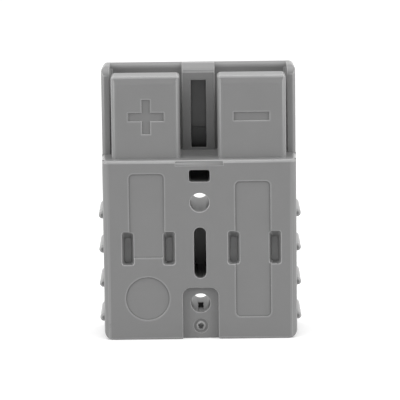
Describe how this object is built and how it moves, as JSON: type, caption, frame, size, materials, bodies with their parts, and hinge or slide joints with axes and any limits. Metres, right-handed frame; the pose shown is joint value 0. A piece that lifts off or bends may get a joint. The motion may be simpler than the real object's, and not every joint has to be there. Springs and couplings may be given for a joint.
{
  "type": "genderless power connector",
  "caption": "Flat two-pole power connector with polarity towers on one half, an open hood on the other, mounting holes, crimp contacts and leaf springs; it mates with a copy of itself.",
  "frame": {"origin": "middle of the rear face, where the wires go in; the part stands on that face", "axes": "+Z is the mating direction, +X runs from the positive pole to the negative pole, -Y is the marked front on the side of the towers"},
  "size_m": [0.0368, 0.016, 0.0492],
  "materials": {
    "housing_plastic": "fine satin moulded grey",
    "contact_plate": "silver plate over copper",
    "spring_steel": "bright rolled stainless strip"
  },
  "bodies": {
    "root": {"housing": "housing_plastic", "contact_positive": "contact_plate", "contact_negative": "contact_plate", "retention_spring_positive": "spring_steel", "retention_spring_negative": "spring_steel"}
  },
  "joints": []
}
